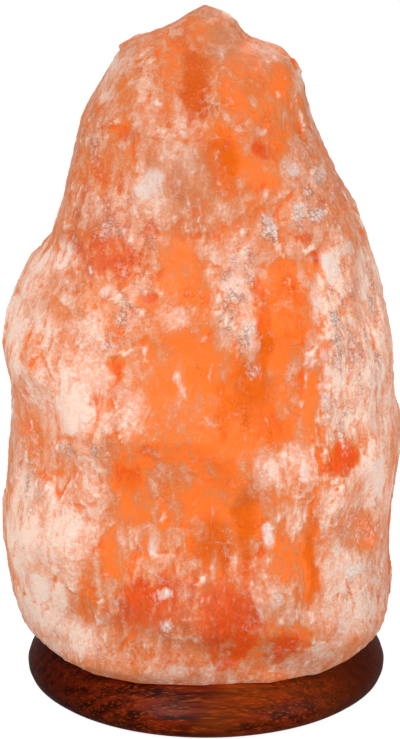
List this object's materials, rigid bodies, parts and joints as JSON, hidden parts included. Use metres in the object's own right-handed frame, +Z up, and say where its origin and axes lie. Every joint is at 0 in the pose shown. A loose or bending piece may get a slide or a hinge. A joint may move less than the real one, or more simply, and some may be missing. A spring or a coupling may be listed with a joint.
{
  "type": "salt crystal lamp",
  "caption": "Hewn rock salt crystal screwed to a turned wooden base, lit from inside by a small screw-in bulb in a drop-out lampholder.",
  "frame": {"origin": "where the axis of the round base meets the surface that the rubber feet stand on", "axes": "+Z up along the axis of the base, the bore and the bulb; -Y towards the front, as pictured; +Y towards the back, where the cord groove leaves the base; +X to the viewer's right"},
  "size_m": [0.1435, 0.1336, 0.249],
  "materials": {
    "rock_salt": "hewn rock salt, frosted and translucent, salmon to orange",
    "dark_hardwood": "turned dark hardwood with a satin lacquer",
    "plated_steel": "zinc-plated steel",
    "black_rubber": "moulded black rubber",
    "phenolic": "moulded black phenolic resin",
    "steatite": "fired unglazed steatite",
    "brass": "drawn brass",
    "spring_steel": "bright spring steel strip",
    "clear_glass": "clear blown glass",
    "cap_metal": "nickel-bright drawn metal",
    "black_glass": "black cap glass",
    "solder": "soft solder",
    "tungsten": "tungsten wire"
  },
  "bodies": {
    "lamp_body": {"salt_crystal": "rock_salt", "wooden_base": "dark_hardwood", "crystal_screws": "plated_steel", "rubber_feet": "black_rubber", "foot_tacks": "plated_steel"},
    "bulb_holder": {"holder_cap": "phenolic", "holder_sleeve": "phenolic", "contact_block": "steatite", "screw_shell": "brass", "centre_contact": "brass", "side_contact": "brass", "terminal_barrels": "brass", "terminal_screws": "plated_steel", "entry_nipple": "brass", "nipple_nut": "brass", "spring_clip": "spring_steel"},
    "bulb": {"bulb_glass": "clear_glass", "bulb_screw_cap": "cap_metal", "cap_insulator": "black_glass", "bulb_tip": "solder", "glass_stem": "clear_glass", "lead_wires": "cap_metal", "filament": "tungsten", "filament_hook": "tungsten"}
  },
  "joints": [
    {"name": "holder_draw", "type": "slide", "parent": "lamp_body", "child": "bulb_holder", "axis": [0, 0, -1], "range_m": [0, 0.11]},
    {"name": "bulb_turn", "type": "hinge", "parent": "bulb_holder", "child": "bulb", "pos_m": [0, 0, 0.05], "axis": [0, 0, 1], "range_deg": [0, 1620]}
  ]
}
